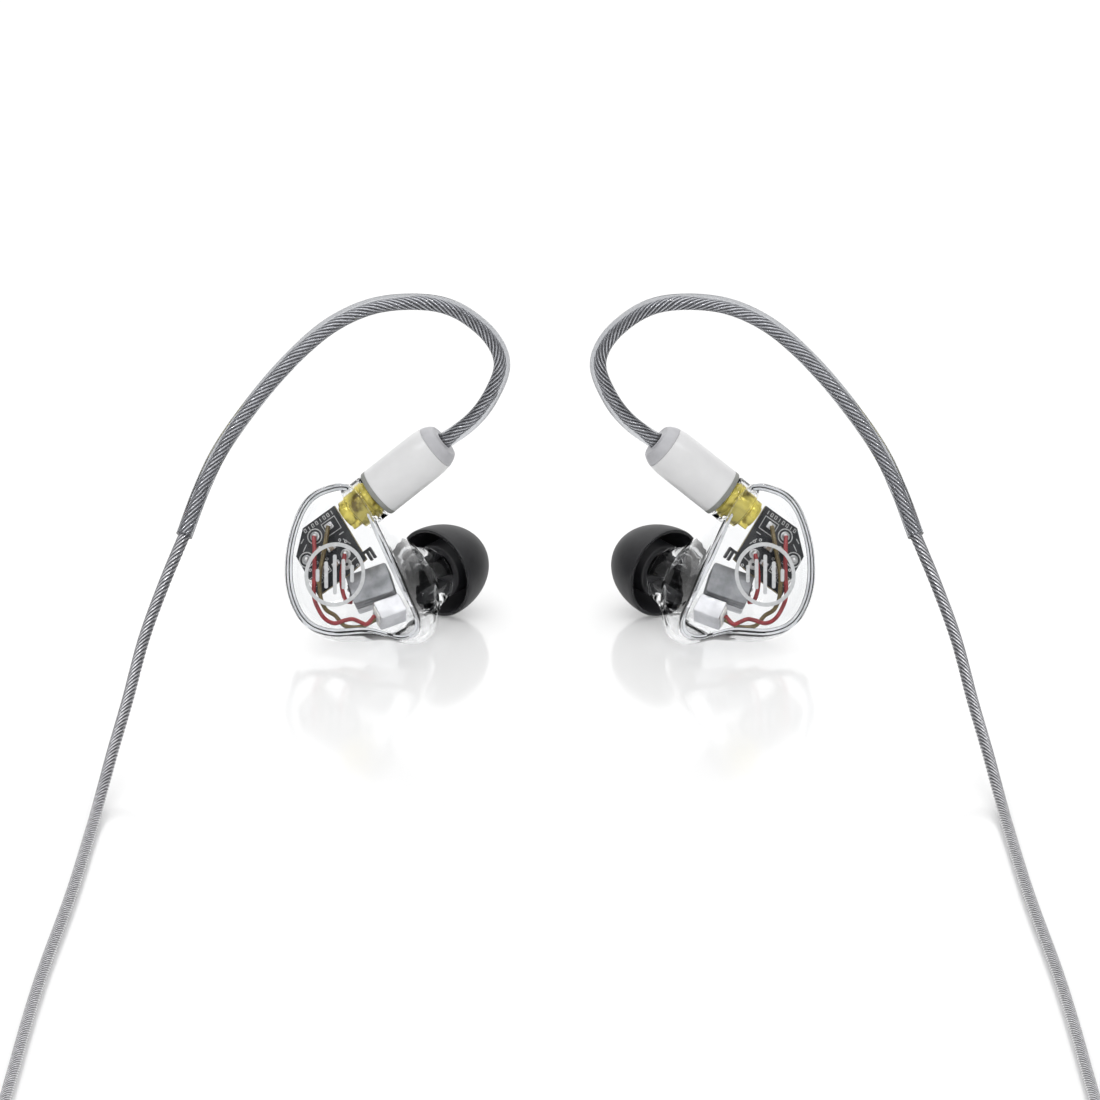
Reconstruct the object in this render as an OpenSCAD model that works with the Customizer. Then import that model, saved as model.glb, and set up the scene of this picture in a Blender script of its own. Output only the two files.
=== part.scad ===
// In-ear monitors: a mirrored pair of clear earpieces on a detachable, over-ear cable.
// The origin is on the floor midway between the earpieces, +Z is up and the faceplates look
// towards -Y. Each earpiece is drawn lying in its own frame, with the faceplate's outer face
// on Z = 0 looking along +Z, and is then stood on the floor.

/* [Standing earpieces] */
// Distance between the two faceplate centres
ear_gap = 53.8; // [53.4:0.1:54.2]
// Height of the faceplate centre above the floor
ear_height = 9.63; // [9.6:0.01:9.7]
// How far each faceplate leans back from upright
lean = 25; // [24.5:0.5:25.5]
// How far each faceplate turns away from the front
turn = 22; // [21.5:0.5:22.5]
// How far each earpiece rolls in the plane of its faceplate
roll = 10; // [9.5:0.5:10.5]

/* [Shell] */
// Thickness of the cup's wall
wall = 0.8; // [0.6:0.1:0.9]
// Thickness of the faceplate
plate_t = 1.2; // [1:0.1:1.3]
// How far the cup swells out beyond the faceplate's outline
belly = 2; // [1.8:0.1:2.2]
// Radius of the cup where it meets the nozzle
neck_r = 3.9; // [3.7:0.1:4]
// Radius of the nozzle
nozzle_r = 2.6; // [2.5:0.05:2.6]
// Radius of the bore through the nozzle
nozzle_bore = 1.9; // [1.8:0.05:1.95]
// Length of the nozzle beyond the neck
nozzle_len = 5.8; // [5.4:0.1:5.9]

/* [Ear tip] */
// Largest radius of the ear tip's dome
tip_r = 5.8; // [5.5:0.1:6]
// Height of the dome from its rim
tip_h = 8; // [7.6:0.1:8.4]
// Thickness of the dome's skin
tip_skin = 0.5; // [0.4:0.05:0.6]
// Outer radius of the ear tip's stem
stem_r = 3.5; // [3.3:0.1:3.6]

/* [Cable connector] */
// Radius of the connector boot
boot_r = 3.15; // [3:0.05:3.2]
// Length of the white boot
boot_len = 9.6; // [9.5:0.1:9.8]
// Length of the grey collar at its end
collar_len = 1.4; // [1.4:0.1:1.6]
// Outer radius of the socket in the shell
socket_r = 2; // [1.9:0.05:2]
// Radius of the connector's snap barrel
barrel_r = 1.3; // [1.25:0.05:1.35]

/* [Cords] */
// Radius of the formed sleeve that goes over the ear
hook_r = 1.05; // [1:0.05:1.1]
// Radius of each branch cord
branch_r = 0.75; // [0.7:0.05:0.8]
// Radius of the main cord
main_r = 1; // [0.9:0.05:1.05]
// Middle radius of the stored coil
coil_r = 12; // [11.8:0.1:12.1]
// Sides of the cord tubes
cord_sides = 8; // [8:1:12]

/* [Jack plug] */
// Radius of the plug's contacts
jack_r = 1.75; // [1.75:0.01:1.75]
// Radius of the plug's barrel
jack_barrel_r = 3.6; // [3.4:0.1:3.6]
// Length of the plug's barrel
jack_barrel_len = 17; // [15:0.5:18]

/* [Hidden] */
$fn = 48;

// Outline of the faceplate, a smooth closed curve through these points
rim_points = [[2.3, 10.8], [-1.7, 11.1], [-4.6, 9], [-6.5, 4], [-6.6, -1.4], [-4.7, -5.6],
    [-1.2, -7.4], [4.3, -7.5], [9.1, -8.5], [10.9, -6.8], [9, -2.1], [6, 4.6]];
rim_steps = 4;            // samples along each span of the outline
cup_rings = 9;            // sections of the cup between rim and neck
belly_shift = [-0.5, -0.3];
belly_depth = 6.5;        // how straight back the cup runs from its rim
neck_pull = 4;            // how straight the cup runs into its neck

// Ear tip and nozzle: a point on the rim's plane, and the way the dome faces
tip_centre = [7.9, 1.5, -14.8];
tip_axis = [0.39, 0.41, -0.83] / norm([0.39, 0.41, -0.83]);
neck_gap = 1.2;           // neck's plane to rim's plane
neck_centre = tip_centre - neck_gap * tip_axis;
stem_start = 0.4;
seat_end = 4.9;           // where the seat for the nozzle ends inside the ear tip
seat_clearance = 0.05;

// Cable connector: centre of the boot's face, and its angle in the faceplate's plane
boot_face = [4.21, 10.31, -3.6];
boot_angle = 35;
boss_r = 3;
boss_gap = 0.25;          // boss to boot, so that the earpiece can swivel
boss_depth = 3.2;
socket_back = -4.8;
socket_mouth = -0.6;
socket_bore = 1.6;
groove = [-2.2, -1.6];    // snap ring's groove along the barrel

// Board, drivers and wiring behind the faceplate
board_outline = [[-0.95, 8.95], [3.3, 2.1], [1.2, 0.4], [-3.1, -2.3], [-6, 2.8], [-5.1, 6.3]];
board_z = -3.2;
board_t = 0.6;
board_front = board_z + board_t;
wire_r = 0.28;
wire_z = -1.9;

// Row of level bars inside the printed ring: heights from the left
ring_r = 4.05;
ring_band = 0.5;
print_t = 0.08;
bar_heights = [1.6, 3.4, 5, 3.8, 2.2];
bar_w = 0.5;
bar_pitch = 1.15;

// Route of the left ear hook and branch cord, from the boot to the splitter
hook_route = [[-10, 6.5, 27.5], [-7.5, 6, 31], [-6, 5.5, 35.5], [-7.5, 5, 39.5],
    [-11.5, 4, 43.2], [-16, 2.5, 44.9], [-22, 1, 44.9], [-27.5, -1.5, 43.1], [-32.5, -4.5, 39.5],
    [-37, -7.5, 35], [-41, -10.5, 30], [-43.5, -13.5, 25.5], [-45.5, -17, 21]];
branch_route = [[-45.5, -17, 21], [-48, -22.5, 16.5], [-50.4, -30, 12], [-52.3, -39.5, 7.5],
    [-54.1, -49, 4], [-55.5, -58.5, 1.5], [-56.5, -68, 0.8], [-58.6, -90, 0.8], [-62, -120, 0.8],
    [-64.5, -148, 0.8], [-66, -170, 0.8], [-64, -183, 0.8], [-57.5, -192.5, 0.8],
    [-47, -197, 0.8], [-34, -197.5, 0.8], [-20, -197.5, 0.8], [-9, -200, 1.2],
    [-3.5, -206.5, 2], [-1.8, -214, 2.4], [-1.8, -228, 2.4], [-1.8, -242, 2.4]];

// Splitter, slider, coil and plug, which lie on the floor in front
pair_x = 1.8;             // half the distance between the two branch cords
pair_z = 2.4;
slider_y = [-240, -232];
split_y = [-256, -242];
coil_centre = [14, -272];
coil_lift = 0.6;
coil_w = 6 * main_r;
coil_h = 8 * main_r;
coil_start = -267;
tail_route = [[16.5, -285.6, 7.4], [20, -286.6, 6.9], [24, -288.6, 5.4], [27.5, -290.4, 4],
    [30, -291, 3.6]];
jack_y = -291;
jack_z = 3.6;
relief_x = 30;
relief_len = 10;
jack_x = relief_x + relief_len;
contact_x = jack_x + jack_barrel_len;
sleeve_len = 6.4;
band_len = 2.6;
gap_len = 0.6;
point_len = 3.8;

// ---- functions ----
function unit(v) = v / norm(v);
function total(list, i = 0) = i == len(list) - 1 ? list[i] : list[i] + total(list, i + 1);
function turned_x(p, a) = [p[0], p[1] * cos(a) - p[2] * sin(a), p[1] * sin(a) + p[2] * cos(a)];
function turned_z(p, a) = [p[0] * cos(a) - p[1] * sin(a), p[0] * sin(a) + p[1] * cos(a), p[2]];

// Where a point of the left earpiece's own frame stands
function stood(p) = [-ear_gap / 2, 0, ear_height]
    + turned_z(turned_x(turned_z(p, roll), 90 - lean), -turn);

// A point on the smooth curve between q and r, where p and s are their neighbours
function curve_point(p, q, r, s, t) = 0.5 * (2 * q + (r - p) * t
    + (2 * p - 5 * q + 4 * r - s) * t * t + (3 * q - p - 3 * r + s) * t * t * t);

// Closed smooth curve through points, with a number of samples along each span
function closed_curve(points, steps) = let (n = len(points)) [
    for (i = [0:n - 1]) for (k = [0:steps - 1])
        curve_point(points[(i + n - 1) % n], points[i], points[(i + 1) % n],
            points[(i + 2) % n], k / steps)
];

// Normals carried along a route without twist
function carried(dirs, start, i = 0) = i == len(dirs) ? [] :
    let (n = unit(start - (start * dirs[i]) * dirs[i])) concat([n], carried(dirs, n, i + 1));

// Two triangles for every patch between the rings of a tube
function tube_faces(rings, sides, closed) = [
    for (i = [0:rings - (closed ? 1 : 2)]) for (k = [0:sides - 1])
        let (a = i * sides + k, b = i * sides + (k + 1) % sides,
            c = ((i + 1) % rings) * sides + k, d = ((i + 1) % rings) * sides + (k + 1) % sides)
        each [[a, c, b], [b, c, d]]
];

// ---- shared shapes ----
module tube(route, radius, sides) {
    last = len(route) - 1;
    dirs = [for (i = [0:last]) unit(route[min(i + 1, last)] - route[max(i - 1, 0)])];
    ups = carried(dirs, [0.3, 0.2, 0.9]);
    rings = [for (i = [0:last]) for (k = [0:sides - 1])
        route[i] + radius * (cos(k * 360 / sides) * ups[i]
            + sin(k * 360 / sides) * cross(dirs[i], ups[i]))];
    ends = [[for (k = [0:sides - 1]) k], [for (k = [sides - 1:-1:0]) last * sides + k]];
    polyhedron(rings, concat(tube_faces(last + 1, sides, false), ends));
}

// Solid of revolution about the line from a point along a direction
module turned_on(base, axis) {
    translate(base)
        rotate([0, acos(axis[2]), atan2(axis[1], axis[0])]) children();
}

// The connector's axis, with Z running from the boot's face towards the cable
module on_boot_axis() {
    turned_on(boot_face, [cos(boot_angle), sin(boot_angle), 0]) children();
}

module ring_of(outer, inner, low, high) {
    translate([0, 0, low]) difference() {
        cylinder(r = outer, h = high - low);
        translate([0, 0, -1]) cylinder(r = inner, h = high - low + 2);
    }
}

module rod(radius, low, high) {
    translate([0, 0, low]) cylinder(r = radius, h = high - low);
}

module ear_frame() {
    translate([-ear_gap / 2, 0, ear_height])
        rotate([90 - lean, 0, -turn]) rotate([0, 0, roll]) children();
}

// A box centred in X and Y, with its front at Z = 0, a little smaller lid and a seam
module driver_can(size, seam) {
    difference() {
        translate([-size[0] / 2, -size[1] / 2, -size[2]]) cube(size);
        for (side = [-1, 1])
            translate([0, side * size[1] / 2, -seam]) cube([size[0] + 1, 0.2, 0.15], center = true);
    }
}

// ---- shell ----
plate_curve = closed_curve(rim_points, rim_steps);
rim_n = len(plate_curve);
rim_mid = total(plate_curve) / rim_n;
neck_u = unit([1, 0, 0] - tip_axis[0] * tip_axis);
neck_v = cross(neck_u, tip_axis);

function rim_way(i) = unit(plate_curve[i] - rim_mid);
function neck_point(i, radius, along) = let (a = atan2(rim_way(i)[1], rim_way(i)[0]))
    neck_centre + along * tip_axis + radius * (cos(a) * neck_u + sin(a) * neck_v);
function neck_ring(radius, along) = [for (i = [0:rim_n - 1]) neck_point(i, radius, along)];

// Section of the cup's outside, from the rim at t = 0 to the neck at t = 1
function cup_section(t) = [
    for (i = [0:rim_n - 1]) let (
        p = plate_curve[i],
        swell = p + belly * rim_way(i) + belly_shift,
        a = [p[0], p[1], -plate_t],
        b = [swell[0], swell[1], -plate_t - belly_depth],
        d = neck_point(i, neck_r, 0),
        c = d - neck_pull * tip_axis)
    pow(1 - t, 3) * a + 3 * pow(1 - t, 2) * t * b + 3 * (1 - t) * t * t * c + pow(t, 3) * d
];
function shrunk(ring, by) = let (mid = total(ring) / len(ring))
    [for (p = ring) p - by * unit(p - mid)];

module cup() {
    outside = [for (k = [0:cup_rings]) cup_section(k / cup_rings)];
    inside = [for (k = [cup_rings:-1:0]) shrunk(outside[k], wall)];
    nozzle = [neck_ring(nozzle_r, 0), neck_ring(nozzle_r, nozzle_len),
        neck_ring(nozzle_bore, nozzle_len), neck_ring(nozzle_bore, 0)];
    rings = concat(outside, nozzle, inside);
    polyhedron([for (ring = rings) each ring],
        [for (face = tube_faces(len(rings), rim_n, true)) [face[0], face[2], face[1]]]);
}

module shell() {
    color([0.9, 0.92, 0.94, 0.35]) difference() {
        union() {
            cup();
            difference() {
                on_boot_axis() rod(boss_r, -boss_depth, -boss_gap);
                translate([0, 0, -plate_t]) linear_extrude(5)
                    polygon(closed_curve(rim_points, rim_steps));
            }
        }
        on_boot_axis() rod(socket_r, -boss_depth - 4, 1);
    }
}

module faceplate() {
    color([0.9, 0.92, 0.94, 0.35]) translate([0, 0, -plate_t])
        linear_extrude(plate_t) polygon(closed_curve(rim_points, 8));
}

module emblem_ring() {
    color("lightgray") {
        ring_of(ring_r, ring_r - ring_band, 0, print_t);
        for (i = [0:len(bar_heights) - 1])
            translate([(i - 2) * bar_pitch, 0, print_t / 2])
                cube([bar_w, bar_heights[i], print_t], center = true);
    }
}

// ---- inside the shell ----
// Two terminal bars stand off the board's edge on a narrow bridge
module circuit_board() {
    color([0.1, 0.1, 0.12]) translate([0, 0, board_z]) {
        linear_extrude(board_t) polygon(board_outline);
        translate([3.35, 2.65, 0]) rotate(-58) {
            translate([-0.55, -0.5, 0]) cube([0.25, 1.3, board_t]);
            for (y = [0, 0.53]) translate([-0.55, y, 0]) cube([1.5, 0.32, board_t]);
        }
    }
}

module solder_pads() {
    color("silver") translate([0, 0, board_front]) {
        for (p = [[-3.5, 5.2], [-4.6, 2.3], [0.6, 2.8]]) translate(p) {
            cylinder(r = 0.8, h = 0.06);
            cylinder(r = 0.4, h = 0.45);
        }
        for (p = [[-1.6, 6.4], [-2.2, 1]]) translate(p) translate([-0.45, -0.45, 0])
            cube([0.9, 0.9, 0.1]);
    }
}

module crossover_parts() {
    color([0.55, 0.5, 0.45]) translate([0, 0, board_front]) {
        for (p = [[-1.2, 3.6], [-3, 3.4], [-0.6, 1.6]]) translate(p) rotate(32)
            translate([-0.55, -0.3, 0]) cube([1.1, 0.6, 0.4]);
        translate([-3.4, -0.4]) rotate(32) translate([-0.7, -0.45, 0]) cube([1.4, 0.9, 0.35]);
    }
}

module socket_barrel() {
    color([0.72, 0.66, 0.3]) on_boot_axis() {
        ring_of(socket_r, socket_bore, socket_back + 0.6, socket_mouth);
        rod(socket_r, socket_back, socket_back + 0.6);
    }
}

module socket_insulator() {
    color("white") on_boot_axis()
        ring_of(socket_bore - 0.02, 0.42, socket_back + 0.6, socket_back + 1.8);
}

module socket_contact() {
    color("gold") on_boot_axis() {
        rod(0.4, socket_back + 0.6, -3.2);
        ring_of(0.4, 0.24, -3.2, -2.4);
    }
}

module woofer() {
    color([0.5, 0.51, 0.53]) translate([3.43, -0.88, -3.5]) rotate([-14, 14, 19]) {
        driver_can([5.3, 4.2, 1.55], 0.75);
        translate([0, 0, -1.65]) driver_can([5.3, 4.2, 1.5], 0.7);
    }
}

module midrange_driver() {
    color([0.8, 0.81, 0.83]) translate([6.2, -3.9, -3.3]) rotate([-16, 31, 24])
        driver_can([3.5, 2.7, 2.6], 1.2);
}

module tweeter() {
    color([0.66, 0.67, 0.69]) translate([2.2, -0.2, -8.2]) rotate([-14, 14, 19])
        driver_can([2.6, 2, 1.5], 0.6);
}

tube_offset = 0.85;
tube_sides = [[1, 0], [-1, 0]];

module sound_tubes() {
    color([0.85, 0.9, 0.95, 0.5]) turned_on(neck_centre, tip_axis)
        for (side = tube_sides) translate(tube_offset * side) ring_of(0.8, 0.55, -3.4, 4.6);
}

module dampers() {
    color([0.25, 0.25, 0.26]) turned_on(neck_centre, tip_axis)
        for (side = tube_sides) translate(tube_offset * side) rod(0.52, 1.2, 2);
}

module nozzle_screen() {
    color("silver") turned_on(neck_centre, tip_axis) difference() {
        rod(nozzle_bore - 0.03, 5, 5.25);
        for (a = [0:60:300]) rotate(a) translate([1.1, 0, 4]) cylinder(r = 0.3, h = 2);
        translate([0, 0, 4]) cylinder(r = 0.3, h = 2);
    }
}

// Wires run from the board's pads, round the lower edge, to the drivers
red_route = [[-3.5, 5.2, -2.3], [-3.3, 3.4, wire_z], [-3.3, 0.6, wire_z], [-3.4, -2.3, wire_z],
    [-3, -3.9, -2.3], [-2.2, -5.2, -2.6], [-1, -5.8, -2.8], [0.3, -5.45, -3.1],
    [1.3, -5.35, -3.2], [2.5, -5.85, -3], [3.2, -6.1, -2.9], [3.75, -5.6, -3.1],
    [4.1, -5.05, -3.4]];
red_link_route = [[0.6, 2.8, -2.3], [0.2, 0.4, -2.2], [0.1, -1.5, -2.6], [0.3, -2.9, -3.4],
    [0.85, -3.1, -4.05]];
green_route = [[-1.6, 6.4, -2.3], [-2, 3.4, wire_z], [-2.6, 0.2, wire_z], [-2.6, -2.4, -2.1],
    [-2.1, -4, -2.6], [-1, -4.8, -3], [-0.3, -5.7, -3.3], [0.4, -6.2, -3], [1.5, -6.4, -2.9],
    [2.6, -6.3, -3.2], [3.4, -5.95, -3.3], [4.3, -5.5, -3.35]];

module wire_red() {
    color([0.6, 0.1, 0.12]) {
        tube(red_route, wire_r, 6);
        tube(red_link_route, wire_r, 6);
    }
}

module wire_green() {
    color([0.35, 0.3, 0.15]) tube(green_route, wire_r, 6);
}

// ---- ear tip ----
module ear_tip() {
    inner_r = tip_r - tip_skin;
    inner_h = tip_h - 1.4;
    mouth = nozzle_bore;
    seat = nozzle_r + seat_clearance;
    outer_end = acos((mouth + 0.5) / tip_r);
    inner_end = acos((stem_r + 0.3) / inner_r);
    dome = [for (i = [0:14]) let (a = i * outer_end / 14) [tip_r * cos(a), tip_h * sin(a)]];
    hollow = [for (i = [8:-1:0]) let (a = i * inner_end / 8) [inner_r * cos(a), inner_h * sin(a)]];
    stem_top = hollow[0][1] + 0.3;
    section = concat(dome,
        [[mouth, tip_h * sin(outer_end) - 0.1], [mouth, seat_end], [seat, seat_end],
            [seat, stem_start], [stem_r, stem_start], [stem_r, stem_top - 0.3],
            [stem_r + 0.1, stem_top - 0.05]],
        hollow, [[tip_r - tip_skin / 2, -0.15]]);
    color([0.08, 0.08, 0.09]) turned_on(tip_centre, tip_axis)
        rotate_extrude() polygon(section);
}

// ---- cable connector ----
module snap_ring() {
    color("gold") on_boot_axis() ring_of(1.5, 1.2, groove[0] + 0.05, groove[1] - 0.05);
}

module boot() {
    bevel = 0.25;
    color([0.92, 0.92, 0.93]) on_boot_axis() rotate_extrude() polygon([
        [barrel_r, 0], [boot_r - bevel, 0], [boot_r, bevel], [boot_r, boot_len - 1.4],
        [boot_r - 0.04, boot_len - 0.8], [boot_r - 0.2, boot_len], [1.2, boot_len],
        [1.2, 3.2], [barrel_r, 3.2]]);
}

module boot_collar() {
    color([0.6, 0.6, 0.62]) on_boot_axis() rotate_extrude() polygon([
        [hook_r + 0.1, boot_len], [boot_r - 0.2, boot_len], [boot_r - 0.45, boot_len + 0.6],
        [boot_r - 0.8, boot_len + 1.2], [boot_r - 1.1, boot_len + collar_len],
        [hook_r + 0.1, boot_len + collar_len]]);
}

module plug_barrel() {
    color([0.8, 0.75, 0.45]) on_boot_axis() rotate_extrude() polygon([
        [0.9, -2.8], [barrel_r - 0.1, -2.8], [barrel_r, -2.6], [barrel_r, groove[0]],
        [1.15, groove[0]], [1.15, groove[1]], [barrel_r, groove[1]], [barrel_r, 3],
        [0.9, 3]]);
}

module plug_pin() {
    color("gold") on_boot_axis() {
        rod(0.2, -3, 0);
        rod(0.88, 0, 1.2);
    }
}

// ---- cords ----
boot_exit = stood(boot_face + (boot_len + 0.4) * [cos(boot_angle), sin(boot_angle), 0]);

module ear_hook() {
    color([0.6, 0.61, 0.63]) tube(concat([boot_exit], hook_route), hook_r, cord_sides);
}

module branch_cord() {
    color([0.75, 0.76, 0.78]) tube(branch_route, branch_r, cord_sides);
}

module y_split() {
    color([0.75, 0.75, 0.77]) hull() {
        for (side = [-1, 1]) translate([side * pair_x, split_y[1], pair_z]) rotate([90, 0, 0])
            cylinder(r = 1.9, h = 5, $fn = 32);
        translate([0, split_y[0] + 1, pair_z]) rotate([90, 0, 0])
            cylinder(r = 1.6, h = 1, $fn = 32);
    }
}

module chin_slider() {
    long = slider_y[1] - slider_y[0];
    color([0.8, 0.8, 0.82]) translate([0, slider_y[1], pair_z]) rotate([90, 0, 0]) difference() {
        union() {
            for (side = [-1, 1]) translate([side * pair_x, 0, 0]) cylinder(r = pair_z, h = long);
            translate([-pair_x, -pair_z, 0]) cube([2 * pair_x, 2 * pair_z, long]);
        }
        for (side = [-1, 1]) translate([side * pair_x, 0, -1])
            cylinder(r = branch_r + 0.15, h = long + 2);
    }
}

module main_cord() {
    color([0.75, 0.76, 0.78]) {
        tube([[0, split_y[0], pair_z], [0, split_y[0] - 4, 2.1], [0, split_y[0] - 8, 1.8],
            [0.1, coil_start, 1.6]], main_r, cord_sides);
        tube(tail_route, main_r, cord_sides);
    }
}

module coil_section(grow) {
    w = coil_w / 2 + grow;
    h = coil_h + 2 * grow;
    translate([coil_r, coil_lift - grow])
        polygon([[-w, 0.8], [0.8 - w, 0], [w - 0.8, 0], [w, 0.8], [w, h - 0.8], [w - 0.8, h],
            [0.8 - w, h], [-w, h - 0.8]]);
}

module main_coil() {
    color([0.75, 0.76, 0.78]) translate(coil_centre) rotate_extrude() coil_section(0);
}

module cord_tie() {
    color([0.15, 0.15, 0.16]) translate(coil_centre) rotate([0, 0, -14])
        rotate_extrude(angle = 28) difference() {
            coil_section(coil_lift);
            coil_section(0);
        }
}

// ---- jack plug ----
module on_jack_axis() {
    translate([0, jack_y, jack_z]) rotate([0, 90, 0]) children();
}

module jack_barrel() {
    end = jack_x + jack_barrel_len;
    color([0.2, 0.2, 0.22]) on_jack_axis() rotate_extrude() polygon([
        [1.3, jack_x], [jack_barrel_r - 0.8, jack_x], [jack_barrel_r, jack_x + 1],
        [jack_barrel_r, end - 0.5], [jack_barrel_r - 0.5, end], [1.3, end],
        [1.3, end - 4], [2.4, end - 5], [2.4, jack_x + 2], [1.3, jack_x + 1.4]]);
}

module jack_strain_relief() {
    ribs = 4;
    step = relief_len / (2 * ribs);
    thick = [for (i = [0:2 * ribs]) 1.35 + i * 0.16];
    upper = [for (i = [0:2 * ribs - 1]) for (end = [0, 1])
        [thick[i] - (i % 2 == 1 ? 0.3 : 0), relief_x + (i + end) * step]];
    color([0.15, 0.15, 0.16]) on_jack_axis() rotate_extrude()
        polygon(concat([[0, relief_x]], upper, [[0, relief_x + relief_len]]));
}

module jack_sleeve_contact() {
    color("gold") on_jack_axis() {
        ring_of(jack_r, 1.1, contact_x, contact_x + sleeve_len);
        ring_of(1.28, 1.1, contact_x - 3.8, contact_x);
    }
}

module jack_insulators() {
    first = contact_x + sleeve_len;
    second = first + gap_len + band_len;
    color([0.1, 0.1, 0.1]) on_jack_axis() {
        rod(1.08, contact_x - 3.8, second);
        rod(jack_r - 0.2, first, first + gap_len);
        rod(jack_r - 0.2, second, second + gap_len);
    }
}

module jack_tip_contacts() {
    band = contact_x + sleeve_len + gap_len;
    point = band + band_len + gap_len;
    color("gold") on_jack_axis() {
        ring_of(jack_r, 1.1, band, band + band_len);
        rotate_extrude() polygon([[0, point], [jack_r, point], [jack_r, point + 0.6],
            [1.15, point + 1.3], [1.6, point + 2.1], [1.5, point + 2.6],
            [0.5, point + point_len - 0.1], [0, point + point_len]]);
    }
}

// ---- the left earpiece and its side of the cable, one piece at a time ----
module earpiece_piece(name) {
    ear_frame() {
        if (name == "shell") shell();
        if (name == "faceplate") faceplate();
        if (name == "emblem_ring") emblem_ring();
        if (name == "circuit_board") circuit_board();
        if (name == "solder_pads") solder_pads();
        if (name == "crossover_parts") crossover_parts();
        if (name == "socket_barrel") socket_barrel();
        if (name == "socket_insulator") socket_insulator();
        if (name == "socket_contact") socket_contact();
        if (name == "woofer") woofer();
        if (name == "midrange_driver") midrange_driver();
        if (name == "tweeter") tweeter();
        if (name == "sound_tubes") sound_tubes();
        if (name == "dampers") dampers();
        if (name == "nozzle_screen") nozzle_screen();
        if (name == "wire_red") wire_red();
        if (name == "wire_green") wire_green();
        if (name == "ear_tip") ear_tip();
        if (name == "snap_ring") snap_ring();
        if (name == "boot") boot();
        if (name == "boot_collar") boot_collar();
        if (name == "plug_barrel") plug_barrel();
        if (name == "plug_pin") plug_pin();
    }
    if (name == "ear_hook") ear_hook();
    if (name == "branch_cord") branch_cord();
}

module left(name) {
    earpiece_piece(name);
}

module right(name) {
    mirror([1, 0, 0]) earpiece_piece(name);
}

left("shell");  // left_shell
left("faceplate");  // left_faceplate
left("emblem_ring");  // left_emblem_ring
left("circuit_board");  // left_circuit_board
left("solder_pads");  // left_solder_pads
left("crossover_parts");  // left_crossover_parts
left("socket_barrel");  // left_socket_barrel
left("socket_insulator");  // left_socket_insulator
left("socket_contact");  // left_socket_contact
left("woofer");  // left_woofer
left("midrange_driver");  // left_midrange_driver
left("tweeter");  // left_tweeter
left("sound_tubes");  // left_sound_tubes
left("dampers");  // left_dampers
left("nozzle_screen");  // left_nozzle_screen
left("wire_red");  // left_wire_red
left("wire_green");  // left_wire_green
left("ear_tip");  // left_ear_tip
left("snap_ring");  // left_snap_ring
left("boot");  // left_boot
left("boot_collar");  // left_boot_collar
left("plug_barrel");  // left_plug_barrel
left("plug_pin");  // left_plug_pin
left("ear_hook");  // left_ear_hook
left("branch_cord");  // left_branch_cord
right("shell");  // right_shell
right("faceplate");  // right_faceplate
right("emblem_ring");  // right_emblem_ring
right("circuit_board");  // right_circuit_board
right("solder_pads");  // right_solder_pads
right("crossover_parts");  // right_crossover_parts
right("socket_barrel");  // right_socket_barrel
right("socket_insulator");  // right_socket_insulator
right("socket_contact");  // right_socket_contact
right("woofer");  // right_woofer
right("midrange_driver");  // right_midrange_driver
right("tweeter");  // right_tweeter
right("sound_tubes");  // right_sound_tubes
right("dampers");  // right_dampers
right("nozzle_screen");  // right_nozzle_screen
right("wire_red");  // right_wire_red
right("wire_green");  // right_wire_green
right("ear_tip");  // right_ear_tip
right("snap_ring");  // right_snap_ring
right("boot");  // right_boot
right("boot_collar");  // right_boot_collar
right("plug_barrel");  // right_plug_barrel
right("plug_pin");  // right_plug_pin
right("ear_hook");  // right_ear_hook
right("branch_cord");  // right_branch_cord
y_split();
chin_slider();
main_cord();
main_coil();
cord_tie();
jack_barrel();
jack_strain_relief();
jack_sleeve_contact();
jack_tip_contacts();
jack_insulators();
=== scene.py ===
import math

import bmesh
import bpy
import numpy as np
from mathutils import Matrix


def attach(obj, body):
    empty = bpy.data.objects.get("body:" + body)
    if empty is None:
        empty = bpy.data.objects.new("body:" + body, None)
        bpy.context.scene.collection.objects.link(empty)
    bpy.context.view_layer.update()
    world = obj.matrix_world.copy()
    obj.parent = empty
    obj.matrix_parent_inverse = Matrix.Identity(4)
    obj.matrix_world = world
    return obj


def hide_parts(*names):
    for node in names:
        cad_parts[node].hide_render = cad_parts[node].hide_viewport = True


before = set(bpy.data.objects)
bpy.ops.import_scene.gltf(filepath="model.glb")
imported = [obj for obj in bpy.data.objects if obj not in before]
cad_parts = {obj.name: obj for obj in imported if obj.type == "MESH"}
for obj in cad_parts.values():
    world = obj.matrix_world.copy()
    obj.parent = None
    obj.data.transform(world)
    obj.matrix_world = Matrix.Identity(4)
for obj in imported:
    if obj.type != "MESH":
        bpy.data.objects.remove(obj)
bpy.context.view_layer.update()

# Everything below is drawn in millimetres and made in metres.
MM = 0.001
X_AXIS, Z_AXIS = np.array([1.0, 0, 0]), np.array([0, 0, 1.0])

# How each earpiece stands, as in the CAD model
GAP, HEIGHT, LEAN, TURN, ROLL = 53.8, 9.63, 25.0, 22.0, 10.0

# View
VIEW_WIDTH, ELEVATION, AIM_ABOVE = 137.5, math.radians(20), 3.26

# Cup and faceplate
PLATE, WALL, BELLY, DEPTH = 1.2, 0.8, 2.0, 6.5
BELLY_SHIFT = np.array([-0.5, -0.3])
NECK_R, NECK_PULL, NOZZLE_R, NOZZLE_BORE, NOZZLE_LEN = 3.9, 4.0, 2.6, 1.9, 5.8
# The cup is a row of sections, solid from one of them on, with a slightly eased rim.
CUP_SECTIONS, SOLID_FROM, EASE = 26, 19, 0.05
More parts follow.
